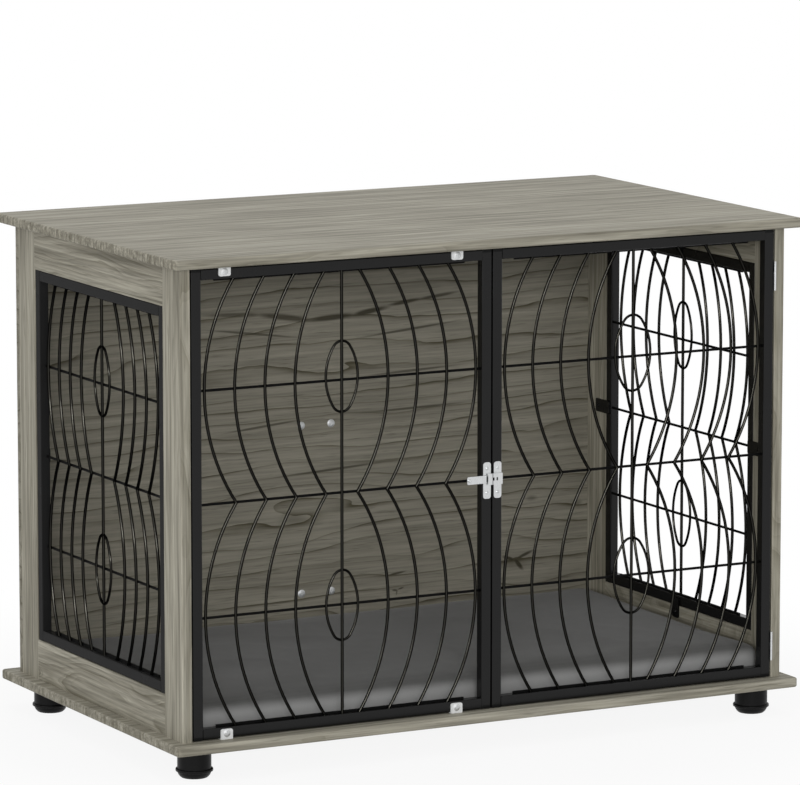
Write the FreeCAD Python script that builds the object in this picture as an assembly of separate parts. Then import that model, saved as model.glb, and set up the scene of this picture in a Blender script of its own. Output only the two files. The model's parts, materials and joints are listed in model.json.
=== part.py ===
import FreeCAD, Part
import math
import os

# A piece of furniture that is also a pet crate. Two wooden panels on four feet hold two wooden
# side frames and a wooden back. Steel grilles fill the side frames and the front, where the left
# grille is fixed and the right one is a hinged door, held shut by a flat slide latch.
# Millimetres. X runs along the crate, Y from front to back, Z up.
# The origin is on the floor, under the middle of the panels.

V = FreeCAD.Vector

# Panels: the top and the bottom are alike
panel_length = 1000.0
panel_depth = 600.0
panel_thickness = 14.0
panel_corner_radius = 6.0
panel_edge_radius = 3.0

# Body: what stands between the panels
body_height = 660.0
side_overhang = 18.0
front_overhang = 23.0
back_overhang = 28.0

# Side frames: two stiles and two rails each, cut from one thickness of board
board_thickness = 15.0
stile_width = 56.0
rail_height = 59.0
board_edge_radius = 0.8

# Back: one board, with an upright brace behind its middle
back_thickness = 10.0
brace_width = 80.0
brace_thickness = 15.0
brace_screw_pitch = 50.0
brace_screw_rise = 255.0
brace_screw_length = 22.0
back_screw_end_gap = 60.0
back_screw_length = 34.0

# Dowels in the corners of the wooden frame
dowel_diameter = 6.0
dowel_length = 30.0
dowel_in_panel = 9.0

# Feet: a round collar, a flange and a smaller rounded base
foot_height = 41.0
foot_collar_diameter = 47.5
foot_flange_diameter = 52.5
foot_flange_thickness = 4.0
foot_base_diameter = 37.0
foot_base_height = 8.5
foot_side_inset = 49.0
foot_edge_radius = 1.2
foot_recess_diameter = 13.0
foot_recess_depth = 30.0
foot_screw_length = 22.0

# Steel tube of all grilles
tube_width = 15.0
tube_wall = 1.2
tube_corner_radius = 1.6

# Front: the fixed grille on the left, the door on the right
fixed_width = 467.0
fixed_side_gap = 1.8
middle_gap = 2.0
hinge_gap = 2.0
lower_gap = 1.5
upper_gap = 3.5
fixed_screw_length = 28.0
fixed_screw_end_gap = 70.0
fixed_screw_count = 4
cap_thickness = 4.0
cap_plug_length = 9.0
cap_fit = 0.15

# Side grilles: they sit in the side frames, a little behind the outer face
side_grille_recess = 1.0
side_grille_fit = 0.5

# Wires: upright bows and a middle wire with two rings, welded in front of cross bars
wire_diameter = 4.4
ring_wire_diameter = 3.7
bar_diameter = 3.8
wire_setback = 6.0
weld_gap = 0.05
bows_per_side = 4
bow_radius = 285.0
front_first_bow = 72.5
front_edge_gap = 7.0
side_first_bow = 70.5
side_edge_gap = 14.5
front_bar_share = 0.507
side_bar_share = 0.516
ring_width = 53.5
ring_height = 103.0
door_ring_width = 61.5
door_ring_height = 113.0
ring_end_share = 0.6
upper_ring_rise = 5.5
strip_height = 3.0
strip_thickness = 3.0
strip_end_gap = 24.0

# Tabs: flat steel that fastens the side grilles to the inner faces of the wood
tab_thickness = 2.0
tab_height = 20.0
tab_reach = 28.0
tab_overlap = 12.0
short_tab_width = 18.0
short_tab_reach = 18.0
tab_corner_radius = 3.0
tab_screw_edge_gap = 9.0
tab_screw_length = 12.0

# Hinges: two butt hinges in the gap beside the door, with the barrel in front
hinge_height = 42.0
hinge_top_gap = 46.0
hinge_bottom_gap = 24.0
hinge_leaf_thickness = 0.9
hinge_leaf_width = 12.0
hinge_barrel_diameter = 3.4
hinge_pin_diameter = 1.6
hinge_pin_clearance = 0.05
hinge_face_gap = 0.3
hinge_knuckle_gap = 0.3
hinge_screw_pitch = 24.0
hinge_screw_length = 9.0

# Latch: a flat bolt in a bridge on the fixed grille, and a keeper on the door
latch_plate_width = 12.2
latch_plate_height = 52.0
latch_plate_thickness = 1.2
latch_plate_radius = 4.0
latch_screw_pitch = 34.5
latch_screw_length = 8.0
latch_fit = 0.45
latch_room = 1.3
bolt_rise = 2.0
bolt_height = 11.0
bolt_thickness = 1.6
bolt_length = 39.0
bolt_corner_radius = 2.0
bolt_tip_inset = 1.2
bolt_slot_width = 1.6
bolt_slot_height = 9.0
bolt_slot_gap = 0.3
bridge_length = 7.0
guide_opening_width = 4.4
keeper_reach = 3.0
keeper_opening_width = 8.5
keeper_opening_height = 8.0
window_width = 2.2
window_height = 4.4
window_pitch = 5.4
knob_diameter = 4.6
knob_height = 3.0
knob_inset = 3.4
knob_edge_radius = 1.2

# Clips: plastic corners that hold the fixed grille's rails against the panels
clip_width = 18.0
clip_height = 14.5
clip_screw_share = 0.58
clip_thickness = 2.6
clip_lip_depth = 9.0
clip_corner_radius = 3.0
clip_left_inset = 50.0
clip_right_inset = 56.0
clip_screw_length = 9.0

# Pad: a foam cushion that covers the floor
pad_thickness = 46.5
pad_side_gap = 2.5
pad_front_gap = 9.0
pad_back_gap = 3.0
pad_clearance = 0.3
pad_corner_radius = 16.0
pad_draw_in = 2.5
pad_edge_inset = 7.0
pad_crown_inset = 150.0
pad_edge_shares = ((0.0, 0.50), (0.05, 0.24), (0.14, 0.07), (0.28, 0.0), (0.52, 0.0),
                   (0.66, 0.06), (0.77, 0.20), (0.85, 0.42), (0.90, 0.68), (0.93, 1.0))
pad_crown_shares = ((0.96, 0.22), (0.985, 0.52), (1.0, 1.0))

# Screws: one size for wood, one with a wide head for the back and the clips, and one for thin metal
screw_shank = 3.5
screw_head = 7.0
screw_head_height = 2.2
wide_screw_head = 10.5
wide_screw_head_height = 1.2
brace_screw_head = 12.2
brace_screw_head_height = 1.5
small_screw_shank = 2.6
small_screw_head = 4.8
small_screw_head_height = 1.4
recess_length_share = 0.62
recess_width_share = 0.18
recess_depth_share = 0.6
hole_fit = 0.1

# How far a cutting shape runs past what it cuts
overrun = 5.0

# Heights and faces that the pieces share
floor_top = foot_height + panel_thickness
body_top = floor_top + body_height
body_middle = (floor_top + body_top) / 2
side_face = panel_length / 2 - side_overhang
side_inner = side_face - board_thickness
side_middle = side_face - board_thickness / 2
front_face = -panel_depth / 2 + front_overhang
back_face = panel_depth / 2 - back_overhang
back_inner = back_face - back_thickness
opening_front = front_face + stile_width
opening_back = back_inner - stile_width
opening_middle = (opening_front + opening_back) / 2
opening_low = floor_top + rail_height
opening_high = body_top - rail_height
front_stile_middle = front_face + stile_width / 2
back_stile_middle = back_inner - stile_width / 2
grille_low = floor_top + lower_gap
grille_high = body_top - upper_gap
grille_middle = (grille_low + grille_high) / 2
bolt_axis = grille_middle + bolt_rise
fixed_left = -side_inner + fixed_side_gap
fixed_right = fixed_left + fixed_width
door_left = fixed_right + middle_gap
door_right = side_inner - hinge_gap
side_tube_depth = board_thickness - side_grille_recess
wood_screw = (screw_shank, screw_head, screw_head_height)
wide_screw = (screw_shank, wide_screw_head, wide_screw_head_height)
brace_screw = (screw_shank, brace_screw_head, brace_screw_head_height)
small_screw = (small_screw_shank, small_screw_head, small_screw_head_height)
layer_depth = wire_setback + wire_diameter / 2 + weld_gap

nodes = {}


def add(name, *solids):
    """Put solids into a node."""
    nodes.setdefault(name, []).extend(solids)


def box(low, high):
    """Box between two opposite corners."""
    size = high.sub(low)
    return Part.makeBox(size.x, size.y, size.z, low)


def edges_along(shape, direction):
    """Straight edges of a shape that run along a direction."""
    found = []
    for edge in shape.Edges:
        ends = [vertex.Point for vertex in edge.Vertexes]
        if len(ends) == 2 and ends[1].sub(ends[0]).cross(direction).Length < Part.Precision.confusion():
            found.append(edge)
    return found


def rounded(shape, radius, direction):
    """Shape with the edges along a direction rounded."""
    return shape.makeFillet(radius, edges_along(shape, direction))


def cut_from(names, tool):
    """Cut a tool out of every solid that it reaches in the named nodes."""
    for name in names:
        kept = []
        for solid in nodes[name]:
            if solid.BoundBox.intersect(tool.BoundBox):
                kept.extend(solid.cut(tool).Solids)
            else:
                kept.append(solid)
        nodes[name] = kept


def aimed(shape, point, direction):
    """Shape moved so that its own Z runs along a direction from a point."""
    shape.Placement = FreeCAD.Placement(point, FreeCAD.Rotation(V(0, 0, 1), direction))
    return shape


def screw_form(shank, head, head_height, length, sunk, grow):
    """Screw along Z with its head up: domed on the surface, or sunk flush into it."""
    stem = Part.makeCylinder(shank / 2 + grow, length + grow, V(0, 0, -length - grow))
    if sunk:
        top = Part.makeCone(shank / 2 + grow, head / 2 + grow, head_height, V(0, 0, -head_height))
    else:
        ball = head * head / (8 * head_height) + head_height / 2
        top = Part.makeSphere(ball + grow, V(0, 0, head_height - ball))
        top = top.common(Part.makeCylinder(head + grow, head_height + grow))
    return stem.fuse(top).removeSplitter()


def add_screw(name, through, point, outward, length, size=wood_screw, sunk=False):
    """Cross-head screw into a surface at a point, with its hole in every node that it goes through."""
    shank, head, head_height = size
    screw = screw_form(shank, head, head_height, length, sunk, 0)
    reach = head * recess_length_share / 2
    half = head * recess_width_share / 2
    top = 0 if sunk else head_height
    depth = head_height * recess_depth_share
    for across, along in ((reach, half), (half, reach)):
        screw = screw.cut(box(V(-across, -along, top - depth), V(across, along, top + overrun)))
    add(name, aimed(screw, point, outward).Solids[0])
    cut_from(through, aimed(screw_form(shank, head, head_height, length, sunk, hole_fit), point, outward))


def add_dowel(names, point, direction, before):
    """Dowel that crosses a joint face at a point, starting a length before it."""
    start = point - direction * before
    radius = dowel_diameter / 2
    add("joint_dowels", Part.makeCylinder(radius, dowel_length, start, direction))
    hole_start = start - direction * hole_fit
    cut_from(names, Part.makeCylinder(radius + hole_fit, dowel_length + 2 * hole_fit, hole_start, direction))


def make_panels():
    """Top and bottom panels with rounded corners and eased edges."""
    for name, low in (("bottom_panel", foot_height), ("top_panel", body_top)):
        half_length, half_depth = panel_length / 2, panel_depth / 2
        corner = V(half_length, half_depth, low + panel_thickness)
        board = box(V(-half_length, -half_depth, low), corner)
        board = rounded(board, panel_corner_radius, V(0, 0, 1))
        level = [edge for edge in board.Edges if edge.BoundBox.ZLength < panel_edge_radius]
        add(name, board.makeFillet(panel_edge_radius, level))


def make_wood_frames():
    """Stiles and rails of both side frames, the back and its brace."""
    for side, sign in (("left", -1), ("right", 1)):
        near, far = sorted((sign * side_inner, sign * side_face))
        boards = {
            "front_stile": (front_face, opening_front, floor_top, body_top),
            "back_stile": (opening_back, back_inner, floor_top, body_top),
            "top_rail": (opening_front, opening_back, opening_high, body_top),
            "bottom_rail": (opening_front, opening_back, floor_top, opening_low),
        }
        for board, (front, back, low, high) in boards.items():
            along = V(0, 0, 1) if "stile" in board else V(0, 1, 0)
            solid = box(V(near, front, low), V(far, back, high))
            add(side + "_" + board, rounded(solid, board_edge_radius, along))
    back = box(V(-side_face, back_inner, floor_top), V(side_face, back_face, body_top))
    add("back_panel", rounded(back, board_edge_radius, V(0, 0, 1)))
    brace_back = back_face + brace_thickness
    brace = box(V(-brace_width / 2, back_face, floor_top), V(brace_width / 2, brace_back, body_top))
    add("back_brace", rounded(brace, board_edge_radius, V(0, 0, 1)))


def make_dowels():
    """Dowels from the stiles into the panels, and from the rails into the stiles."""
    for side, sign in (("left", -1), ("right", 1)):
        x = sign * side_middle
        for board, y in (("front_stile", front_stile_middle), ("back_stile", back_stile_middle)):
            stile = side + "_" + board
            add_dowel(("bottom_panel", stile), V(x, y, floor_top), V(0, 0, 1), dowel_in_panel)
            add_dowel(("top_panel", stile), V(x, y, body_top), V(0, 0, -1), dowel_in_panel)
        for board, z in (("top_rail", body_top - rail_height / 2),
                         ("bottom_rail", floor_top + rail_height / 2)):
            rail = side + "_" + board
            half = dowel_length / 2
            add_dowel((rail, side + "_front_stile"), V(x, opening_front, z), V(0, 1, 0), half)
            add_dowel((rail, side + "_back_stile"), V(x, opening_back, z), V(0, 1, 0), half)


def make_back_screws():
    """Screws from inside into the brace, and from behind into the back edges of the stiles."""
    for x in (-brace_screw_pitch / 2, brace_screw_pitch / 2):
        for rise in (-brace_screw_rise, 0, brace_screw_rise):
            point = V(x, back_inner, body_middle + rise)
            through = ("back_panel", "back_brace")
            add_screw("back_panel_screws", through, point, V(0, -1, 0), brace_screw_length, brace_screw)
    for side, sign in (("left", -1), ("right", 1)):
        for z in (floor_top + back_screw_end_gap, body_middle, body_top - back_screw_end_gap):
            point = V(sign * side_middle, back_face, z)
            through = ("back_panel", side + "_back_stile")
            add_screw("back_panel_screws", through, point, V(0, 1, 0), back_screw_length)


def make_foot():
    """Foot on the Z axis, turned from its outline, with a screw recess from below."""
    collar, flange, base = foot_collar_diameter / 2, foot_flange_diameter / 2, foot_base_diameter / 2
    flange_top = foot_base_height + foot_flange_thickness
    neck = (base + collar) / 2
    bulge = V((neck + collar) / 2, 0, foot_base_height / 2)
    outline = Part.Wire([
        Part.LineSegment(V(0, 0, 0), V(base, 0, 0)).toShape(),
        Part.Arc(V(base, 0, 0), bulge, V(collar, 0, foot_base_height)).toShape(),
        Part.LineSegment(V(collar, 0, foot_base_height), V(flange, 0, foot_base_height)).toShape(),
        Part.LineSegment(V(flange, 0, foot_base_height), V(flange, 0, flange_top)).toShape(),
        Part.LineSegment(V(flange, 0, flange_top), V(collar, 0, flange_top)).toShape(),
        Part.LineSegment(V(collar, 0, flange_top), V(collar, 0, foot_height)).toShape(),
        Part.LineSegment(V(collar, 0, foot_height), V(0, 0, foot_height)).toShape(),
        Part.LineSegment(V(0, 0, foot_height), V(0, 0, 0)).toShape(),
    ])
    foot = Part.Face(outline).revolve(V(0, 0, 0), V(0, 0, 1), 360)
    circles = [edge for edge in foot.Edges if isinstance(edge.Curve, Part.Circle)]
    rims = [edge for edge in circles if edge.Curve.Radius > collar + foot_edge_radius]
    foot = foot.makeFillet(foot_edge_radius, rims)
    return foot.cut(Part.makeCylinder(foot_recess_diameter / 2, foot_recess_depth)).Solids[0]


def make_feet():
    """Four feet under the stiles, each held by a screw up into the bottom panel."""
    foot = make_foot()
    foot_x = panel_length / 2 - foot_side_inset
    for x in (-foot_x, foot_x):
        for y in (front_stile_middle, back_stile_middle):
            add("feet", foot.translated(V(x, y, 0)))
    for x in (-foot_x, foot_x):
        for y in (front_stile_middle, back_stile_middle):
            point = V(x, y, foot_recess_depth)
            add_screw("foot_screws", ("feet", "bottom_panel"), point, V(0, 0, -1), foot_screw_length)


def tube(low, high, along):
    """Square tube between two corners, open at both ends, with its long edges rounded."""
    outer = rounded(box(low, high), tube_corner_radius, along)
    inset = V(tube_wall, tube_wall, tube_wall) - along * (tube_wall + overrun)
    return outer.cut(box(low + inset, high - inset))


def end_cap(x, depth, end, inward):
    """Plug for a stile's open end: a cap as wide as the tube, and a block inside it."""
    low, high = sorted((end, end + inward * cap_thickness))
    cap = box(V(x - tube_width / 2, 0, low), V(x + tube_width / 2, depth, high))
    cap = rounded(cap, tube_corner_radius, V(0, 0, 1))
    gap = tube_wall + cap_fit
    low, high = sorted((end, end + inward * (cap_thickness + cap_plug_length)))
    plug = box(V(x - tube_width / 2 + gap, gap, low), V(x + tube_width / 2 - gap, depth - gap, high))
    return cap.fuse(plug).removeSplitter()


def bow_wire(side, offset, low, high, middle, quarter):
    """Wire bent into two equal bows, one above and one below the middle bar."""
    centre = V(side * (offset - bow_radius), wire_setback, middle + quarter)
    ring = Part.makeTorus(bow_radius, wire_diameter / 2, centre, V(0, 1, 0))
    reach = bow_radius + wire_diameter
    ends = sorted((centre.x, centre.x + side * reach))
    bows = []
    for bottom, top in ((middle, high), (low, middle)):
        window = box(V(ends[0], 0, bottom), V(ends[1], wire_setback + wire_diameter, top))
        bows.append(ring.common(window))
        ring = ring.translated(V(0, 0, -2 * quarter))
    return bows[0].fuse(bows[1]).removeSplitter().Solids[0]


def oval_ring(width, tall, height):
    """Upright oval ring of four tangent arcs round the middle wire."""
    half_width = (width - ring_wire_diameter) / 2
    half_height = (tall - ring_wire_diameter) / 2
    end_radius = half_width * ring_end_share
    span = half_width ** 2 + half_height ** 2 - 2 * half_height * end_radius
    flank_radius = span / (2 * (half_width - end_radius))
    lean = math.atan2(half_height - end_radius, flank_radius - half_width)
    joint_x = half_width - flank_radius + flank_radius * math.cos(lean)
    joint_z = flank_radius * math.sin(lean)
    middle = V(0, wire_setback, height)
    corners = [V(joint_x, 0, -joint_z), V(joint_x, 0, joint_z),
               V(-joint_x, 0, joint_z), V(-joint_x, 0, -joint_z)]
    mids = [V(half_width, 0, 0), V(0, 0, half_height), V(-half_width, 0, 0), V(0, 0, -half_height)]
    arcs = []
    for index in range(4):
        ends = corners[index] + middle, corners[(index + 1) % 4] + middle
        arcs.append(Part.Arc(ends[0], mids[index] + middle, ends[1]).toShape())
    path = Part.Wire(arcs)
    start = arcs[0].valueAt(arcs[0].FirstParameter)
    direction = arcs[0].tangentAt(arcs[0].FirstParameter)
    section = Part.Wire(Part.makeCircle(ring_wire_diameter / 2, start, direction))
    return path.makePipeShell([section], True, True)


def grille(half_width, low, high, depth, first_bow, edge_gap, bar_share, ring, cap):
    """One grille in its own frame: X across from its middle, Y back from its face, Z up."""
    inner = half_width - tube_width
    inner_low, inner_high = low + tube_width, high - tube_width
    middle = (low + high) / 2
    quarter = (inner_high - inner_low) / 2 * bar_share
    pieces = {}
    for name, sign in (("left_stile", -1), ("right_stile", 1)):
        near, far = sorted((sign * inner, sign * half_width))
        stile = tube(V(near, 0, low + cap), V(far, depth, high - cap), V(0, 0, 1))
        pieces[name] = [stile]
    for name, bottom in (("top_rail", inner_high), ("bottom_rail", low)):
        pieces[name] = [tube(V(-inner, 0, bottom), V(inner, depth, bottom + tube_width), V(1, 0, 0))]
    if cap > 0:
        places = [(sign * (inner + tube_width / 2), end, inward)
                  for sign in (-1, 1) for end, inward in ((low, 1), (high, -1))]
        pieces["end_caps"] = [end_cap(x, depth, end, inward) for x, end, inward in places]
    strip = strip_end_gap - inner
    pieces["wire_strips"] = []
    for bottom in (inner_low, inner_high - strip_height):
        corner = V(-strip, layer_depth + strip_thickness, bottom + strip_height)
        pieces["wire_strips"].append(box(V(strip, layer_depth, bottom), corner))
    bar_depth = layer_depth + bar_diameter / 2
    pieces["cross_bars"] = []
    for rise in (-quarter, 0, quarter):
        start = V(-inner, bar_depth, middle + rise)
        pieces["cross_bars"].append(Part.makeCylinder(bar_diameter / 2, 2 * inner, start, V(1, 0, 0)))
    stem = Part.makeCylinder(wire_diameter / 2, inner_high - inner_low, V(0, wire_setback, inner_low))
    for rise in (-quarter, quarter + upper_ring_rise):
        stem = stem.fuse(oval_ring(*ring, middle + rise))
    pieces["wires"] = stem.Solids
    pitch = (inner - edge_gap - first_bow) / (bows_per_side - 1)
    for side in (-1, 1):
        for index in range(bows_per_side):
            offset = first_bow + index * pitch
            pieces["wires"].append(bow_wire(side, offset, inner_low, inner_high, middle, quarter))
    return pieces


def add_grille(prefix, pieces, base, angle, names):
    """Turn a grille about Z, move it to its place and put its pieces into nodes."""
    for piece, solids in pieces.items():
        for solid in solids:
            moved = solid.copy()
            moved.rotate(V(0, 0, 0), V(0, 0, 1), angle)
            moved.translate(base)
            add(prefix + "_" + names.get(piece, piece), moved)


def make_front_grilles():
    """Fixed grille and door, side by side behind the front edges of the side frames."""
    door_names = {"left_stile": "latch_stile", "right_stile": "hinge_stile"}
    fixed_ring = (ring_width, ring_height)
    door_ring = (door_ring_width, door_ring_height)
    for prefix, left, right, names, ring in (("fixed_panel", fixed_left, fixed_right, {}, fixed_ring),
                                             ("door", door_left, door_right, door_names, door_ring)):
        pieces = grille((right - left) / 2, grille_low, grille_high, tube_width,
                        front_first_bow, front_edge_gap, front_bar_share, ring, cap_thickness)
        add_grille(prefix, pieces, V((left + right) / 2, front_face, 0), 0, names)


def make_side_grilles():
    """Grilles in the side frames, with flat tabs screwed to the wood inside."""
    half_width = (opening_back - opening_front) / 2 - side_grille_fit
    low, high = opening_low + side_grille_fit, opening_high - side_grille_fit
    pieces = grille(half_width, low, high, side_tube_depth, side_first_bow, side_edge_gap,
                    side_bar_share, (ring_width, ring_height), 0)
    left_names = {"left_stile": "back_stile", "right_stile": "front_stile"}
    right_names = {"left_stile": "front_stile", "right_stile": "back_stile"}
    for side, sign, names in (("left", -1, left_names), ("right", 1, right_names)):
        base = V(sign * (side_face - side_grille_recess), opening_middle, 0)
        add_grille(side + "_grille", pieces, base, sign * 90, names)
        make_tabs(side, sign)


def make_tabs(side, sign):
    """Four tabs of one side grille: at mid-height front and back, and at the middle above and below."""
    half_tab, half_short = tab_height / 2, short_tab_width / 2
    tabs = {
        "front_stile": ((opening_front - tab_reach, opening_front + tab_overlap),
                        (body_middle - half_tab, body_middle + half_tab),
                        (opening_front - tab_reach + tab_screw_edge_gap, body_middle)),
        "back_stile": ((opening_back - tab_overlap, opening_back + tab_reach),
                       (body_middle - half_tab, body_middle + half_tab),
                       (opening_back + tab_reach - tab_screw_edge_gap, body_middle)),
        "top_rail": ((opening_middle - half_short, opening_middle + half_short),
                     (opening_high - tab_overlap, opening_high + short_tab_reach),
                     (opening_middle, opening_high + short_tab_reach - tab_screw_edge_gap)),
        "bottom_rail": ((opening_middle - half_short, opening_middle + half_short),
                        (opening_low - short_tab_reach, opening_low + tab_overlap),
                        (opening_middle, opening_low - short_tab_reach + tab_screw_edge_gap)),
    }
    near, far = sorted((sign * (side_inner - tab_thickness), sign * side_inner))
    for wood, (across, upright, hole) in tabs.items():
        tab = box(V(near, across[0], upright[0]), V(far, across[1], upright[1]))
        add(side + "_grille_tabs", rounded(tab, tab_corner_radius, V(1, 0, 0)))
        point = V(sign * (side_inner - tab_thickness), hole[0], hole[1])
        through = (side + "_grille_tabs", side + "_" + wood)
        add_screw("tab_screws", through, point, V(-sign, 0, 0), tab_screw_length)


def make_fixed_panel_fixings():
    """Clips on the rails of the fixed grille, and screws from its left stile into the wood."""
    for x in (fixed_left + clip_left_inset, fixed_right - clip_right_inset):
        for rail, face, inward, gap in (("bottom_rail", floor_top, 1, lower_gap),
                                        ("top_rail", body_top, -1, upper_gap)):
            low, high = sorted((face, face + inward * clip_height))
            plate = box(V(x - clip_width / 2, front_face - clip_thickness, low),
                        V(x + clip_width / 2, front_face, high))
            outer = [edge for edge in edges_along(plate, V(0, 1, 0))
                     if abs(edge.CenterOfMass.z - face) > clip_height / 2]
            plate = plate.makeFillet(clip_corner_radius, outer)
            low, high = sorted((face, face + inward * gap))
            lip = box(V(x - clip_width / 2, front_face - clip_thickness, low),
                      V(x + clip_width / 2, front_face + clip_lip_depth, high))
            add("panel_clips", plate.fuse(lip).removeSplitter().Solids[0])
            point = V(x, front_face - clip_thickness, face + inward * clip_height * clip_screw_share)
            through = ("panel_clips", "fixed_panel_" + rail)
            add_screw("fixed_panel_screws", through, point, V(0, -1, 0), clip_screw_length, wide_screw)
    inner = fixed_left + tube_width
    first = grille_low + fixed_screw_end_gap
    pitch = (grille_high - fixed_screw_end_gap - first) / (fixed_screw_count - 1)
    for index in range(fixed_screw_count):
        point = V(inner, front_face + tube_width / 2, first + index * pitch)
        through = ("fixed_panel_left_stile", "left_front_stile")
        add_screw("fixed_panel_screws", through, point, V(1, 0, 0), fixed_screw_length)


def hinge_leaf(near, far, axis, low, bands):
    """Hinge leaf in the gap beside the door, with its knuckles on the barrel's axis."""
    plate_back = front_face + hinge_leaf_width
    leaf = box(V(near, front_face, low), V(far, plate_back, low + hinge_height))
    for bottom, top in bands:
        web = box(V(near, axis.y, bottom), V(far, plate_back, top))
        base = V(axis.x, axis.y, bottom)
        leaf = leaf.fuse(web).fuse(Part.makeCylinder(hinge_barrel_diameter / 2, top - bottom, base))
    bore_radius = hinge_pin_diameter / 2 + hinge_pin_clearance
    bore = Part.makeCylinder(bore_radius, hinge_height, V(axis.x, axis.y, low))
    return leaf.cut(bore).removeSplitter().Solids[0]


def make_hinges():
    """Two butt hinges: a leaf on the wood, a leaf on the door and a pin through their knuckles."""
    axis = V(door_right + hinge_gap / 2, front_face - hinge_face_gap - hinge_barrel_diameter / 2, 0)
    third = hinge_height / 3
    half_gap = hinge_knuckle_gap / 2
    for low in (grille_high - hinge_top_gap - hinge_height, grille_low + hinge_bottom_gap):
        lower, upper = low + third, low + 2 * third
        door_bands = ((low, lower - half_gap), (upper + half_gap, low + hinge_height))
        post_bands = ((lower + half_gap, upper - half_gap),)
        door_far = door_right + hinge_leaf_thickness
        post_near = side_inner - hinge_leaf_thickness
        add("hinge_door_leaves", hinge_leaf(door_right, door_far, axis, low, door_bands))
        add("hinge_post_leaves", hinge_leaf(post_near, side_inner, axis, low, post_bands))
        add("hinge_pins", Part.makeCylinder(hinge_pin_diameter / 2, hinge_height, V(axis.x, axis.y, low)))
        for rise in (-hinge_screw_pitch / 2, hinge_screw_pitch / 2):
            y = front_face + hinge_leaf_width / 2
            z = low + hinge_height / 2 + rise
            add_screw("door_hardware_screws", ("hinge_door_leaves", "door_hinge_stile"),
                      V(door_far, y, z), V(1, 0, 0), hinge_screw_length, small_screw, sunk=True)
            add_screw("fixed_hardware_screws", ("hinge_post_leaves", "right_front_stile"),
                      V(post_near, y, z), V(-1, 0, 0), hinge_screw_length, small_screw, sunk=True)


def latch_plate(x, bridge_left, bridge_right, slot_right):
    """Plate on a stile, with a raised bridge for the bolt to slide in."""
    half_width, half_height = latch_plate_width / 2, latch_plate_height / 2
    plate_front = front_face - latch_plate_thickness
    plate = box(V(x - half_width, plate_front, grille_middle - half_height),
                V(x + half_width, front_face, grille_middle + half_height))
    plate = rounded(plate, latch_plate_radius, V(0, 1, 0))
    slot_low = bolt_axis - bolt_height / 2 - latch_room
    slot_high = bolt_axis + bolt_height / 2 + latch_room
    slot_front = plate_front - bolt_thickness - 2 * latch_fit
    bridge_front = slot_front - latch_plate_thickness
    bridge = box(V(bridge_left, bridge_front, slot_low - latch_plate_thickness),
                 V(bridge_right, plate_front, slot_high + latch_plate_thickness))
    slot = box(V(bridge_left - overrun, slot_front, slot_low), V(slot_right, plate_front, slot_high))
    return plate.fuse(bridge.cut(slot)).removeSplitter().Solids[0]


def latch_window(left, width, height, front, back):
    """Opening at the bolt's height, between two depths."""
    return box(V(left, front, bolt_axis - height / 2), V(left + width, back, bolt_axis + height / 2))


def make_latch():
    """Slide latch, drawn back: the guide on the fixed grille, its bolt, and the keeper on the door."""
    plate_front = front_face - latch_plate_thickness
    back = plate_front - latch_fit
    front = back - bolt_thickness
    tip = fixed_right - bolt_tip_inset
    tail = tip - bolt_length

    # The bolt has a slot beside the bridge, and the pressed bridge leaves an opening in the plate behind it.
    guide_x = fixed_right - tube_width / 2
    bridge_right = fixed_right - bolt_tip_inset / 2
    bridge_left = bridge_right - bridge_length
    slot_left = bridge_left - bolt_slot_gap - bolt_slot_width
    guide = latch_plate(guide_x, bridge_left, bridge_right, bridge_right + overrun)
    opening = latch_window(slot_left, guide_opening_width, bolt_slot_height, plate_front, front_face)
    add("latch_guide", guide.cut(opening).Solids[0])

    # The keeper's bridge reaches over the gap, has two small windows and is closed at its far end.
    keeper_x = door_left + tube_width / 2
    keeper_left = keeper_x - latch_plate_width / 2
    keeper_right = keeper_x + latch_plate_width / 2
    keeper_start = keeper_left - keeper_reach
    keeper = latch_plate(keeper_x, keeper_start, keeper_right, keeper_right - latch_plate_thickness)
    keeper = keeper.cut(latch_window(keeper_left, keeper_opening_width, keeper_opening_height,
                                     plate_front, front_face))
    for left in (keeper_start, keeper_start + window_pitch):
        keeper = keeper.cut(latch_window(left, window_width, window_height, front - overrun, back))
    add("latch_keeper", keeper.Solids[0])

    for rise in (-latch_screw_pitch / 2, latch_screw_pitch / 2):
        z = grille_middle + rise
        add_screw("fixed_hardware_screws", ("latch_guide", "fixed_panel_right_stile"),
                  V(guide_x, plate_front, z), V(0, -1, 0), latch_screw_length, small_screw)
        add_screw("door_hardware_screws", ("latch_keeper", "door_latch_stile"),
                  V(keeper_x, plate_front, z), V(0, -1, 0), latch_screw_length, small_screw)

    strap = box(V(tail, front, bolt_axis - bolt_height / 2), V(tip, back, bolt_axis + bolt_height / 2))
    strap = rounded(strap, bolt_corner_radius, V(0, 1, 0))
    strap = strap.cut(latch_window(slot_left, bolt_slot_width, bolt_slot_height, front, back))
    knob_base = V(tail + knob_inset, front, bolt_axis)
    knob = Part.makeCylinder(knob_diameter / 2, knob_height, knob_base, V(0, -1, 0))
    rim = [edge for edge in knob.Edges if edge.BoundBox.YMax < front - knob_edge_radius]
    add("latch_bolt", strap.fuse(knob.makeFillet(knob_edge_radius, rim)).removeSplitter().Solids[0])


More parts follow.
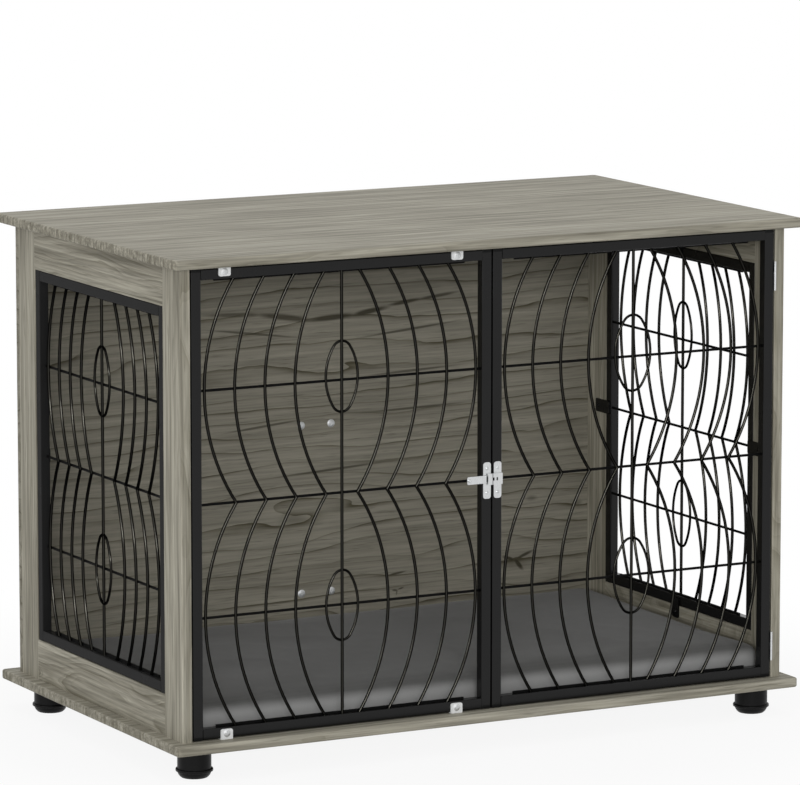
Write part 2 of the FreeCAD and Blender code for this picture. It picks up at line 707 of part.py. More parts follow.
def pad_outline(inset, height):
    """Closed outline of the pad at a height: round corners, and sides that draw in between them."""
    half_length = side_inner - pad_side_gap - inset
    front = front_face + tube_width + pad_front_gap + inset
    back = back_inner - pad_back_gap - inset
    radius = pad_corner_radius
    slant = radius * math.sqrt(0.5)
    edges = []
    middle = (front + back) / 2
    half_depth = (back - front) / 2
    starts = []
    for x, y in ((1, 1), (-1, 1), (-1, -1), (1, -1)):
        hub = V(x * (half_length - radius), middle + y * (half_depth - radius), height)
        along_x = hub + V(x * radius, 0, 0)
        along_y = hub + V(0, y * radius, 0)
        first, last = (along_x, along_y) if x * y > 0 else (along_y, along_x)
        starts.append((first, hub + V(x * slant, y * slant, 0), last))
    inwards = (V(0, -pad_draw_in, 0), V(pad_draw_in, 0, 0), V(0, pad_draw_in, 0), V(-pad_draw_in, 0, 0))
    for index, (first, peak, last) in enumerate(starts):
        edges.append(Part.Arc(first, peak, last).toShape())
        following = starts[(index + 1) % 4][0]
        edges.append(Part.Arc(last, (last + following) / 2 + inwards[index], following).toShape())
    return Part.Wire(edges)


def make_pad():
    """Cushion with a rounded rim, drawn-in sides and a crown."""
    base = floor_top + pad_clearance
    outlines = []
    for height_share, inset_share in pad_edge_shares:
        outlines.append(pad_outline(inset_share * pad_edge_inset, base + height_share * pad_thickness))
    for height_share, inset_share in pad_crown_shares:
        inset = pad_edge_inset + inset_share * (pad_crown_inset - pad_edge_inset)
        outlines.append(pad_outline(inset, base + height_share * pad_thickness))
    add("cushion", Part.makeLoft(outlines, True, True).Solids[0])


def write_parts():
    """Write one STEP file for each node."""
    os.makedirs("parts", exist_ok=True)
    for name, solids in nodes.items():
        shape = solids[0] if len(solids) == 1 else Part.makeCompound(solids)
        shape.exportStep("parts/" + name + ".step")


make_panels()
make_wood_frames()
make_dowels()
make_back_screws()
make_feet()
make_front_grilles()
make_side_grilles()
make_fixed_panel_fixings()
make_hinges()
make_latch()
make_pad()
write_parts()
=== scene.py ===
"""Dresses a pet crate that doubles as an end table.

Grey oak laminate goes on the case, black powder coat and plating on the grilles, zinc on the latch, hinges and
screws, and a stuffed canvas pad on the floor. A plain studio with the camera stands round it.
"""

import json
import math

import bpy
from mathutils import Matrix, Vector, noise


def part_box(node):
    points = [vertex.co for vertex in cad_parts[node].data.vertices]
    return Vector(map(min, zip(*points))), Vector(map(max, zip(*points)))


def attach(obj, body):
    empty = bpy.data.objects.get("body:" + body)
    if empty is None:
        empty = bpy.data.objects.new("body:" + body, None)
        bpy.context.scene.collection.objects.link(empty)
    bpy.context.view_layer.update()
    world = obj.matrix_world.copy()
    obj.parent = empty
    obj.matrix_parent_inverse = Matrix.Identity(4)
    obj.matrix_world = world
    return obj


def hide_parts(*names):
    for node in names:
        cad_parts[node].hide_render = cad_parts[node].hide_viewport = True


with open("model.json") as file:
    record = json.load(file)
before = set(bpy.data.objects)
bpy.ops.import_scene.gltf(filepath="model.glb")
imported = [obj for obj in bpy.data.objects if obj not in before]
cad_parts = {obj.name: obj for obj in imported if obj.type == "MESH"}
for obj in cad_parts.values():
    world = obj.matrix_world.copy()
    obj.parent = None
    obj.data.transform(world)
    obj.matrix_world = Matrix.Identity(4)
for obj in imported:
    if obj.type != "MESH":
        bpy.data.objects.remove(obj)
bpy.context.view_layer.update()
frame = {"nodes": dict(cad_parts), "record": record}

bl_info = {
    "name": "Pet crate",
    "version": (1, 0, 0),
    "blender": (4, 5, 0),
    "location": "3D View > Sidebar > Crate",
    "description": "Finishes, stuffed pad and studio for an end-table pet crate",
    "category": "Object",
}

MM = 0.001

# Turns that bring a board's grain onto the pattern's X axis.
GRAIN_TURN = {
    "X": (0.0, 0.0, 0.0),
    "Y": (0.0, 0.0, math.radians(-90)),
    "Z": (0.0, math.radians(90), 0.0),
}

# Most values of a noise texture lie in this range.
NOISE_RANGE = {"From Min": 0.3, "From Max": 0.7}
# Bands of a wave texture lie this far apart at a scale of 1.
WAVE_STEP = math.tau / 20
# Sockets of a colour mix: the share of the second colour, and the two colours.
SHARE, FIRST, SECOND = 0, 6, 7

# Noises of the oak: name, length and width of their features in millimetres, and detail.
OAK_NOISES = (
    ("drift", 460, 100, 2), ("ripple", 80, 26, 2), ("broad", 620, 34, 2), ("streak", 260, 9, 2),
    ("shown", 300, 16, 1), ("fibre", 120, 3.0, 3),
    # Real pores are hairlines under half a millimetre; these are wider so that they show.
    ("pores", 40, 1.8, 1),
)
# How far the rings drift and ripple, as they do in a trunk.
RING_SWAY = (("drift", 90 * MM), ("ripple", 9 * MM))
# Width of a ring's dark line in millimetres, and the share of a ring that stays pale.
RING_LINE = 1.8
RING_PALE = 0.35
# Main rings and the finer ones between them: share of the spacing, and weight.
RING_SETS = ((1.0, 1.0), (0.37, 0.66))
# A knot is so many times longer than high, parts the grain out to so many times its size, and pushes it aside by
# such a share of its size.
KNOT_STRETCH = 2.2
KNOT_REACH = 3.0
KNOT_PUSH = 0.6
# Knots and cracks lie on an upright face, along X and Z.
UPRIGHT_FACE = (1.0, 0.0, 1.0)
# Strokes on a panel's end: length, width and height in millimetres, and lean in degrees.
STROKE_SIZE = (90, 4.5, 26)
STROKE_LEAN = 12

# Points of the pad's solid that lie closer than this are one.
MERGE = 0.05 * MM
# Frames over which the pad is stuffed.
STUFFING = range(1, 21)
# Real threads are about 0.6 mm apart; these are 2.4 mm apart so that they show.
THREAD = 2.4 * MM
# Painted light: the pad's sides are painted paler, fading out between these depths below its top.
PAINTED_SIDE_LIGHT_END = (20 * MM, 2 * MM)

# Width of the camera's sensor in millimetres.
SENSOR_WIDTH = 36.0
# Point that all lamps are aimed at.
LAMP_AIM = Vector((0.0, 0.0, 0.4))
# The floor takes most shadow up to the first distance from the middle, and none from the second one on.
SHADOW_REACH = (0.5, 1.1)
# Share of plain white in the floor where it takes most shadow.
SHADOW_WHITE = 0.9


def linear(code):
    """Linear RGBA for an sRGB hex colour."""
    parts = [int(code[i:i + 2], 16) / 255 for i in (1, 3, 5)]
    return tuple(p / 12.92 if p <= 0.04045 else ((p + 0.055) / 1.055) ** 2.4 for p in parts) + (1.0,)


def colour(name, description, code):
    """A colour that a user may change."""
    return bpy.props.FloatVectorProperty(
        name=name, description=description, subtype="COLOR", size=4, min=0.0, max=1.0, default=linear(code))


def length(name, description, metres):
    """A length that a user may change."""
    return bpy.props.FloatProperty(
        name=name, description=description, unit="LENGTH", min=0.0, precision=4, default=metres)


def number(name, description, value):
    """A plain number that a user may change."""
    return bpy.props.FloatProperty(name=name, description=description, default=value)


class CrateFinishes(bpy.types.PropertyGroup):
    """Colours of the crate's materials."""

    oak_pale: colour("Oak, pale", "Early wood of the printed oak", "#a5a193")
    oak_mid: colour("Oak, middle", "Broad darker bands of the oak", "#7c786b")
    oak_late: colour("Oak, late wood", "Ring lines of the oak", "#524d3b")
    oak_fleck: colour("Oak, flecks", "Pores and cracks of the oak", "#393526")
    coat: colour("Powder coat", "Black coat of the square tubes", "#0b0b0b")
    # Painted sheen: a paler grey painted on the left grille's tubes in place of their reflection.
    left_coat_painted_sheen: colour("Powder coat, flat", "Flatter black coat of the left grille's tubes", "#212121")
    bar: colour("Bars", "Black coat of strips and cross bars", "#0a0a0a")
    wire: colour("Wire", "Black plating of the wires", "#050505")
    zinc: colour("Zinc", "Bright zinc plating", "#d6d7d7")
    clip: colour("Clip", "Milky plastic of the clips", "#f4f5f5")
    plastic: colour("Feet", "Black moulded plastic", "#080808")
    beech: colour("Beech", "Dowels", "#c9a877")
    canvas_dark: colour("Canvas, dark", "Shaded threads of the pad's canvas", "#3d3d3b")
    canvas_light: colour("Canvas, light", "Raised threads of the pad's canvas", "#4e4e4c")
    # Painted light: the pad's sides are painted in this paler tone, as if lit more than the top.
    canvas_side_painted_light: colour("Canvas, side", "Paler boxing round the pad", "#8c8c8b")


class CrateCushion(bpy.types.PropertyGroup):
    """Sizes of the stuffed pad."""

    voxel: length("Voxel", "Mesh size before stuffing", 6.6 * MM)
    shrink: length("Shrink", "How much smaller the pad starts on each side", 2 * MM)
    cap: length("Swell", "Furthest that stuffing moves a point", 4 * MM)
    proud: length("Proud", "How far the pad may stand out of its solid", 2 * MM)
    dent: length("Dents", "Depth of the soft dents in the top", 3 * MM)
    dent_size: length("Dent size", "Distance between the soft dents", 130 * MM)
    pressure: number("Pressure", "Stuffing pressure", 4.0)


class CrateStudio(bpy.types.PropertyGroup):
    """Camera and lights."""

    lens: number("Lens", "Focal length in millimetres on a 36 mm sensor", 247.52)
    eye: bpy.props.FloatVectorProperty(
        name="Camera", description="Place of the camera", subtype="TRANSLATION", unit="LENGTH",
        default=(-3.6807, -6.9585, 1.7166))
    yaw: bpy.props.FloatProperty(
        name="Yaw", description="Turn of the camera to the right", unit="ROTATION", default=math.radians(27.896))
    pitch: bpy.props.FloatProperty(
        name="Pitch", description="Tilt of the camera downwards", unit="ROTATION", default=math.radians(8.998))
    sky: number("Sky", "Strength of the even light all round", 0.58)
    key: number("Key", "Watts of the wide soft lamp behind the camera", 235.0)
    side: number("Side", "Watts of the soft lamp on the left, which shines in through the grilles", 125.0)
    top: number("Top", "Watts of the soft lamp overhead", 46.0)
    floor: length("Floor", "Length and width of the floor", 60.0)


def node(tree, kind, inputs=None, **settings):
    """Adds a node; an input is a value, a socket, or a node that gives its first output."""
    made = tree.nodes.new(kind)
    for key, value in settings.items():
        setattr(made, key, value)
    for socket, value in (inputs or {}).items():
        if isinstance(value, bpy.types.Node):
            value = next(out for out in value.outputs if out.enabled)
        if isinstance(value, bpy.types.NodeSocket):
            tree.links.new(value, made.inputs[socket])
        else:
            made.inputs[socket].default_value = value
    return made


def new_material(name):
    """An empty node material, with its tree and the place of a point on the piece."""
    material = bpy.data.materials.new(name)
    material.use_nodes = True
    tree = material.node_tree
    tree.nodes.clear()
    return material, tree, node(tree, "ShaderNodeTexCoord").outputs["Object"]


def finish(tree, inputs):
    """Ends a material's tree with its shader."""
    shader = node(tree, "ShaderNodeBsdfPrincipled", inputs)
    node(tree, "ShaderNodeOutputMaterial", {"Surface": shader})


def coat_nodes(material, names):
    """Gives CAD nodes a material."""
    for name in names:
        slots = frame["nodes"][name].data.materials
        slots.clear()
        slots.append(material)


def slot_nodes(slot):
    """Names of the CAD nodes in a material slot of the record."""
    return [part["node"] for part in frame["record"]["subparts"] if part["material_slot"] == slot]


def grain_noises(tree, turned):
    """Noises drawn out along the grain."""
    noises = {}
    for key, along, across, detail in OAK_NOISES:
        scale = (1 / (along * MM), 1 / (across * MM), 1 / (across * MM))
        drawn = node(tree, "ShaderNodeMapping", {"Vector": turned, "Scale": scale})
        noises[key] = node(tree, "ShaderNodeTexNoise", {"Vector": drawn, "Scale": 1.0, "Detail": detail})
    return noises


def part_grain(tree, turned, heart, marks, knot):
    """Parts the grain round a knot with a dark core, and gives the changed rings and marks."""
    x, z, size, dark = knot
    off = node(tree, "ShaderNodeMapping", {
        "Vector": turned, "Location": (x * MM, 0.0, z * MM), "Scale": (size * KNOT_STRETCH * MM, 1.0, size * MM)},
        vector_type="TEXTURE")
    flat = node(tree, "ShaderNodeVectorMath", {0: off, 1: UPRIGHT_FACE}, operation="MULTIPLY")
    away = node(tree, "ShaderNodeVectorMath", {0: flat}, operation="LENGTH")
    # Lines above the knot are pushed up, lines below it down.
    push = node(tree, "ShaderNodeMapRange", {
        "Value": away, "From Max": KNOT_REACH, "To Min": -size * KNOT_PUSH * MM, "To Max": 0.0},
        interpolation_type="SMOOTHSTEP")
    lift = node(tree, "ShaderNodeVectorMath", {0: flat, 1: (0.0, 0.0, 1.0)}, operation="MULTIPLY")
    lift = node(tree, "ShaderNodeVectorMath", {0: lift, "Scale": push}, operation="SCALE")
    heart = node(tree, "ShaderNodeVectorMath", {0: heart, 1: lift}, operation="ADD")
    core = node(tree, "ShaderNodeMapRange", {
        "Value": away, "From Min": 0.1, "From Max": 0.8, "To Min": dark, "To Max": 0.0},
        interpolation_type="SMOOTHSTEP")
    return heart, node(tree, "ShaderNodeMath", {0: marks, 1: core}, operation="MAXIMUM")


def split_grain(tree, turned, marks, crack):
    """Adds a crack, a thin dark stroke on the board's face, to the marks."""
    x, z, long, wide, lean, dark = crack
    stroke = node(tree, "ShaderNodeMapping", {
        "Vector": turned, "Location": (x * MM, 0.0, z * MM), "Rotation": (0.0, -math.radians(lean), 0.0),
        "Scale": (long / 2 * MM, 1.0, wide / 2 * MM)}, vector_type="TEXTURE")
    stroke = node(tree, "ShaderNodeVectorMath", {0: stroke, 1: UPRIGHT_FACE}, operation="MULTIPLY")
    away = node(tree, "ShaderNodeVectorMath", {0: stroke}, operation="LENGTH")
    split = node(tree, "ShaderNodeMapRange", {
        "Value": away, "From Min": 0.5, "From Max": 1.1, "To Min": dark, "To Max": 0.0})
    return node(tree, "ShaderNodeMath", {0: marks, 1: split}, operation="MAXIMUM")


def ring_lines(tree, heart, shown, ring, figure):
    """Dark lines of the rings about the heart, sharp on their outer side, which come and go along the grain."""
    sharp = math.log(0.5) / math.log(1 - RING_LINE / ((1 - RING_PALE) * ring))
    lines = None
    for share, weight in RING_SETS:
        ringed = node(tree, "ShaderNodeTexWave", {"Vector": heart, "Scale": WAVE_STEP / (ring * share * MM)},
                      wave_type="RINGS", rings_direction="X", wave_profile="SAW")
        edge = node(tree, "ShaderNodeMapRange", {"Value": ringed, "From Min": RING_PALE, "To Max": weight})
        lines = node(tree, "ShaderNodeMath", {0: lines, 1: edge}, operation="MAXIMUM") if lines else edge
    lines = node(tree, "ShaderNodeMath", {0: lines, 1: sharp}, operation="POWER")
    shown = node(tree, "ShaderNodeMapRange", {
        "Value": shown, "From Min": 0.36, "From Max": 0.62, "To Min": 0.3 * figure, "To Max": figure})
    return node(tree, "ShaderNodeMath", {0: lines, 1: shown}, operation="MULTIPLY")


def end_strokes(tree, turned, grain):
    """Short strokes through the thickness, which the print shows across the grain, on a panel's end."""
    facing = node(tree, "ShaderNodeNewGeometry").outputs["Normal"]
    facing = node(tree, "ShaderNodeMapping", {"Vector": facing, "Rotation": GRAIN_TURN[grain]})
    facing = node(tree, "ShaderNodeVectorMath", {0: facing, 1: (1.0, 0.0, 0.0)}, operation="MULTIPLY")
    facing = node(tree, "ShaderNodeVectorMath", {0: facing}, operation="LENGTH")
    ends = node(tree, "ShaderNodeMapRange", {"Value": facing, "From Min": 0.6, "From Max": 0.8, "To Max": 0.75})
    strokes = node(tree, "ShaderNodeMapping", {
        "Vector": turned, "Rotation": (math.radians(STROKE_LEAN), 0.0, 0.0),
        "Scale": [1 / (side * MM) for side in STROKE_SIZE]})
    strokes = node(tree, "ShaderNodeTexNoise", {"Vector": strokes, "Scale": 1.0, "Detail": 2.0})
    strokes = node(tree, "ShaderNodeMapRange", {"Value": strokes, "From Min": 0.42, "From Max": 0.66, "To Max": 0.9})
    return node(tree, "ShaderNodeMath", {0: strokes, 1: ends}, operation="MULTIPLY")


def grey_oak(name, looks, grain, pith, tilt, ring, figure, streaks=1.0, painted_light_and_shade=1.0, knots=(), cracks=()):
    """Melamine board printed as limed oak: matt and greige, with long fibres, thin dark rings and short pores.

    pith is a point of the heart of the tree that the board was cut from, in millimetres on the turned axes, and tilt
    is the heart's lean in degrees: together they give straight lines or arches. ring is the spacing of the rings,
    figure how strongly they show, streaks how much the tone changes between them, and painted_light_and_shade makes
    the whole print lighter or darker: painted light or painted shade on a board that gets more or less light.
    """
    material, tree, place = new_material(name)
    turned = node(tree, "ShaderNodeMapping", {"Vector": place, "Rotation": GRAIN_TURN[grain]})
    noises = grain_noises(tree, turned)
    heart = node(tree, "ShaderNodeMapping", {
        "Vector": turned, "Location": [-v * MM for v in pith], "Rotation": [math.radians(v) for v in tilt]})
    for key, reach in RING_SWAY:
        heart = node(tree, "ShaderNodeVectorMath", {
            0: noises[key].outputs["Color"], 1: (0.0, reach, reach), 2: heart}, operation="MULTIPLY_ADD")
    # Only the peaks of the noise are pores.
    marks = node(tree, "ShaderNodeMapRange", {
        "Value": noises["pores"], "From Min": 0.62, "From Max": 0.8, "To Max": 0.5})
    for knot in knots:
        heart, marks = part_grain(tree, turned, heart, marks, knot)
    for crack in cracks:
        marks = split_grain(tree, turned, marks, crack)
    lines = ring_lines(tree, heart, noises["shown"], ring, figure)
    lines = node(tree, "ShaderNodeMath", {0: lines, 1: end_strokes(tree, turned, grain)}, operation="MAXIMUM")

    # Broad bands, narrower streaks in them and single fibres share the change of tone.
    broad = node(tree, "ShaderNodeMath", {0: noises["broad"], 1: 0.5, 2: noises["streak"]}, operation="MULTIPLY_ADD")
    broad = node(tree, "ShaderNodeMapRange", {
        "Value": broad, "From Min": 0.56, "From Max": 0.94, "To Min": 0.5 - streaks / 2, "To Max": 0.5 + streaks / 2})
    tone = node(tree, "ShaderNodeMix", {SHARE: broad, FIRST: looks.oak_pale, SECOND: looks.oak_mid}, data_type="RGBA")
    tone = node(tree, "ShaderNodeMix", {SHARE: lines, FIRST: tone, SECOND: looks.oak_late}, data_type="RGBA")
    tone = node(tree, "ShaderNodeMix", {SHARE: marks, FIRST: tone, SECOND: looks.oak_fleck}, data_type="RGBA")
    # Fibres change the tone more on a streaky board.
    change = 0.12 + 0.13 * streaks
    # The tone is also scaled by painted_light_and_shade: painted light or painted shade over the whole board.
    fibre_tone_and_painted_light = node(tree, "ShaderNodeMapRange", {
        "Value": noises["fibre"], **NOISE_RANGE,
        "To Min": painted_light_and_shade * (0.97 - change), "To Max": painted_light_and_shade * (0.97 + change)})
    tone = node(tree, "ShaderNodeVectorMath", {0: tone, "Scale": fibre_tone_and_painted_light}, operation="SCALE")
    rough = node(tree, "ShaderNodeMapRange", {
        "Value": noises["fibre"], **NOISE_RANGE, "To Min": 0.66, "To Max": 0.54})
    relief = node(tree, "ShaderNodeBump", {"Strength": 0.25, "Distance": 0.15 * MM, "Height": noises["fibre"]})
    finish(tree, {"Base Color": tone, "Roughness": rough, "Normal": relief, "IOR": 1.3})
    return material


class CRATE_OT_oak(bpy.types.Operator):
    """Lays printed grey oak on the boards of the case, each with its own figure"""

    bl_idname = "crate.oak"
    bl_label = "Oak case"

    def execute(self, context):
        looks = context.scene.crate_finishes
        # Knots of the back: place along and up, size, darkness. Cracks: place, length, width, lean, darkness.
        knots = ((342, 146, 24, 0.2), (-37, 244, 20, 0.35), (-55, 268, 30, 0.0), (369, 243, 8, 0.5),
                 (448, 229, 8, 0.5))
        cracks = (
            # A split with two arms and a stem, and short marks beside it
            (329, 153, 26, 7, -18, 0.95), (357, 156, 36, 6, 20, 0.9), (347, 142, 26, 9, -50, 0.95),
            (137, 147, 34, 4, 6, 0.9), (133, 121, 12, 3.6, -8, 0.85), (143, 123, 12, 3, 14, 0.85),
            (136, 117, 9, 3, 80, 0.7),
            # A dark band high up
            (-134, 559, 110, 8, -3, 0.7), (-51, 550, 110, 11, -9, 0.85), (27, 545, 95, 11, 3, 0.9),
            (90, 550, 75, 10, 8, 0.95), (150, 560, 65, 7, 7, 0.9), (206, 566, 80, 6, 6, 0.8),
            # Long thin lines
            (-105, 529, 160, 4.5, -8, 0.75), (155, 518, 190, 4.5, 5, 0.75), (160, 455, 170, 4.5, 2, 0.7),
            (-85, 389, 150, 4.5, 5, 0.75), (165, 398, 200, 4.5, 1, 0.75), (30, 315, 200, 4.5, 3, 0.75))
        boards = (
            # name, nodes, grain, pith, tilt, ring spacing, figure, streaks, painted light and shade, knots, cracks
            ("grey_oak_top", ("top_panel",), "X", (0, 700, 560), (0, 0.6, 0.5), 17, 0.45),
            ("grey_oak_base", ("bottom_panel",), "X", (0, -640, -120), (0, -0.6, 0.5), 17, 0.4),
            # The back is printed darker, as painted shade for the inside of the case.
            ("grey_oak_back", ("back_panel",), "X", (0, 420, -420), (0, 1.2, 0), 25, 1.4, 0.35, 0.85, knots, cracks),
            ("grey_oak_brace", ("back_brace",), "Z", (0, 700, 60), (0, 0.6, 0), 11, 0.42),
            ("grey_oak_left_stiles", ("left_front_stile", "left_back_stile"), "Z",
             (0, -700, 640), (0, 0.6, 0.4), 9, 0.5),
            # The right stiles are printed lighter, as painted light on their faces.
            ("grey_oak_right_stiles", ("right_front_stile", "right_back_stile"), "Z",
             (0, 700, -640), (0, -0.6, 0.4), 9, 0.5, 1.0, 1.12),
            ("grey_oak_left_top_rail", ("left_top_rail",), "Y", (0, 560, 640), (0, 0, -5.0), 7, 0.75),
            ("grey_oak_left_bottom_rail", ("left_bottom_rail",), "Y", (40, 560, 120), (0, 0, -4.0), 7, 0.75),
            ("grey_oak_right_top_rail", ("right_top_rail",), "Y", (0, -560, 650), (0, 0, 4.0), 7, 0.75),
            # The right bottom rail is printed lighter, as painted light on its inner face.
            ("grey_oak_right_bottom_rail", ("right_bottom_rail",), "Y",
             (0, -560, 130), (0, 0, -4.5), 7, 0.6, 1.0, 1.12),
        )
        for name, nodes, *cut in boards:
            coat_nodes(grey_oak(name, looks, *cut), nodes)
        # Turned beech: pale and plain, hidden in the corners.
        material, tree, place = new_material("beech")
        scale = (1 / (25 * MM), 1 / (1.4 * MM), 1 / (1.4 * MM))
        drawn = node(tree, "ShaderNodeMapping", {"Vector": place, "Scale": scale})
        ray = node(tree, "ShaderNodeTexNoise", {"Vector": drawn, "Scale": 1.0, "Detail": 2.0})
        tone = node(tree, "ShaderNodeMix", {
            SHARE: ray, FIRST: looks.beech, SECOND: linear("#a9855a")}, data_type="RGBA")
        finish(tree, {"Base Color": tone, "Roughness": 0.6})
        coat_nodes(material, slot_nodes("beech_dowel"))
        return {"FINISHED"}


class CRATE_OT_coat(bpy.types.Operator):
    """Finishes the grilles: powder coat on tubes, strips and bars, black plating on the wires"""

    bl_idname = "crate.coat"
    bl_label = "Grilles"

    def execute(self, context):
        looks = context.scene.crate_finishes
        wires = [name for name in slot_nodes("black_wire") if name.endswith("_wires")]
        flats = [name for name in slot_nodes("black_wire") if name not in wires]
        lefts = [name for name in slot_nodes("black_tube") if name.startswith("left_")]
        tubes = [name for name in slot_nodes("black_tube") if name not in lefts]
        # Baked polyester powder on steel: deep black that mirrors what is round it faintly, with an orange peel. The
        # left grille's tubes get a copy that mirrors less, since the side lamp shines on them, and a paler grey
        # painted in as painted sheen.
        coats = (("powder_coat_tube", tubes, looks.coat, 0.24, 1.32),
                 ("powder_coat_flat", lefts, looks.left_coat_painted_sheen, 0.24, 1.08),
                 ("powder_coat_bar", flats, looks.bar, 0.62, 1.15))
        for name, nodes, black, rough, index in coats:
            material, tree, place = new_material(name)
            # Orange peel has bumps about 1.5 mm apart.
            peel = node(tree, "ShaderNodeTexNoise", {"Vector": place, "Scale": 1 / (1.5 * MM), "Detail": 1.0})
            cloud = node(tree, "ShaderNodeTexNoise", {"Vector": place, "Scale": 1 / (60 * MM), "Detail": 2.0})
            gloss = node(tree, "ShaderNodeMapRange", {
                "Value": cloud, **NOISE_RANGE, "To Min": rough - 0.05, "To Max": rough + 0.05})
            tone = node(tree, "ShaderNodeMapRange", {
                "Value": cloud, **NOISE_RANGE, "To Min": 0.92, "To Max": 1.08})
            tone = node(tree, "ShaderNodeVectorMath", {0: black[:3], "Scale": tone}, operation="SCALE")
            relief = node(tree, "ShaderNodeBump", {"Strength": 0.2, "Distance": 0.05 * MM, "Height": peel})
            finish(tree, {"Base Color": tone, "Roughness": gloss, "Normal": relief, "IOR": index})
            coat_nodes(material, nodes)
        # Black oxide plating on drawn wire: deep black, with one narrow bright line along the middle.
        material, tree, place = new_material("black_oxide_wire")
        # Drawing marks, each about 2 mm long.
        draw = node(tree, "ShaderNodeTexNoise", {"Vector": place, "Scale": 1 / (2 * MM), "Detail": 2.0})
        rough = node(tree, "ShaderNodeMapRange", {
            "Value": draw, **NOISE_RANGE, "To Min": 0.1, "To Max": 0.18})
        tone = node(tree, "ShaderNodeMix", {
            SHARE: draw, FIRST: looks.wire, SECOND: linear("#0a0a09")}, data_type="RGBA")
        # The gloss stays in the middle of the wire and is gone where the surface turns away.
        away = node(tree, "ShaderNodeLayerWeight", {"Blend": 0.5}).outputs["Facing"]
        gloss = node(tree, "ShaderNodeMapRange", {
            "Value": away, "From Min": 0.02, "From Max": 0.14, "To Min": 0.45, "To Max": 0.0})
        finish(tree, {"Base Color": tone, "Roughness": rough, "IOR": 1.5, "Specular IOR Level": gloss,
                      "Specular Tint": linear("#f0ecdc")})
        coat_nodes(material, wires)
        return {"FINISHED"}


class CRATE_OT_zinc(bpy.types.Operator):
    """Plates hinges, latch and screws with zinc"""

    bl_idname = "crate.zinc"
    bl_label = "Hinges, latch and screws"

    def execute(self, context):
        looks = context.scene.crate_finishes
        # Zinc plate on stamped steel: pale silver, clouded, with fine drawn lines; dull on the screws that
        # show inside and on the clips.
        dull = ["fixed_panel_screws", "back_panel_screws"]
        bright = [name for name in slot_nodes("zinc_steel") if name not in dull]
        for name, nodes, rough in (("bright_zinc", bright, 0.22), ("dull_zinc", dull, 0.5)):
            material, tree, place = new_material(name)
            cloud = node(tree, "ShaderNodeTexNoise", {"Vector": place, "Scale": 1 / (9 * MM), "Detail": 3.0})
            scale = (1 / (0.6 * MM), 1 / (0.6 * MM), 1 / (14 * MM))
            drawn = node(tree, "ShaderNodeMapping", {"Vector": place, "Scale": scale})
            lines = node(tree, "ShaderNodeTexNoise", {"Vector": drawn, "Scale": 1.0, "Detail": 2.0})
            tone = node(tree, "ShaderNodeMix", {
                SHARE: cloud, FIRST: looks.zinc, SECOND: linear("#c2c4c5")}, data_type="RGBA")
            gloss = node(tree, "ShaderNodeMapRange", {
                "Value": lines, **NOISE_RANGE, "To Min": rough, "To Max": rough + 0.12})
            relief = node(tree, "ShaderNodeBump", {"Strength": 0.15, "Distance": 0.02 * MM, "Height": lines})
            finish(tree, {"Base Color": tone, "Roughness": gloss, "Normal": relief, "Metallic": 1.0})
            coat_nodes(material, nodes)
        return {"FINISHED"}


class CRATE_OT_plastic(bpy.types.Operator):
    """Moulds the feet, tube caps and clips in plastic"""

    bl_idname = "crate.plastic"
    bl_label = "Feet, caps and clips"

    def execute(self, context):
        looks = context.scene.crate_finishes
        # Moulded polypropylene: black with a satin sheen and a fine spark-eroded grain.
        material, tree, place = new_material("black_polypropylene")
        grain = node(tree, "ShaderNodeTexNoise", {"Vector": place, "Scale": 1 / (0.8 * MM), "Detail": 2.0})
        rough = node(tree, "ShaderNodeMapRange", {
            "Value": grain, **NOISE_RANGE, "To Min": 0.34, "To Max": 0.46})
        tone = node(tree, "ShaderNodeMix", {
            SHARE: grain, FIRST: looks.plastic, SECOND: linear("#101010")}, data_type="RGBA")
        relief = node(tree, "ShaderNodeBump", {"Strength": 0.2, "Distance": 0.05 * MM, "Height": grain})
        finish(tree, {"Base Color": tone, "Roughness": rough, "Normal": relief, "IOR": 1.22})
        coat_nodes(material, slot_nodes("black_plastic"))
        # Moulded polyethylene: milky and a little see-through.
        material, tree, place = new_material("milky_polyethylene")
        haze = node(tree, "ShaderNodeTexNoise", {"Vector": place, "Scale": 1 / (5 * MM), "Detail": 2.0})
        rough = node(tree, "ShaderNodeMapRange", {
            "Value": haze, **NOISE_RANGE, "To Min": 0.25, "To Max": 0.4})
        tone = node(tree, "ShaderNodeMix", {
            SHARE: haze, FIRST: looks.clip, SECOND: linear("#e2e4e4")}, data_type="RGBA")
        finish(tree, {"Base Color": tone, "Roughness": rough, "Transmission Weight": 0.15, "IOR": 1.5})
        coat_nodes(material, slot_nodes("clear_plastic"))
        return {"FINISHED"}


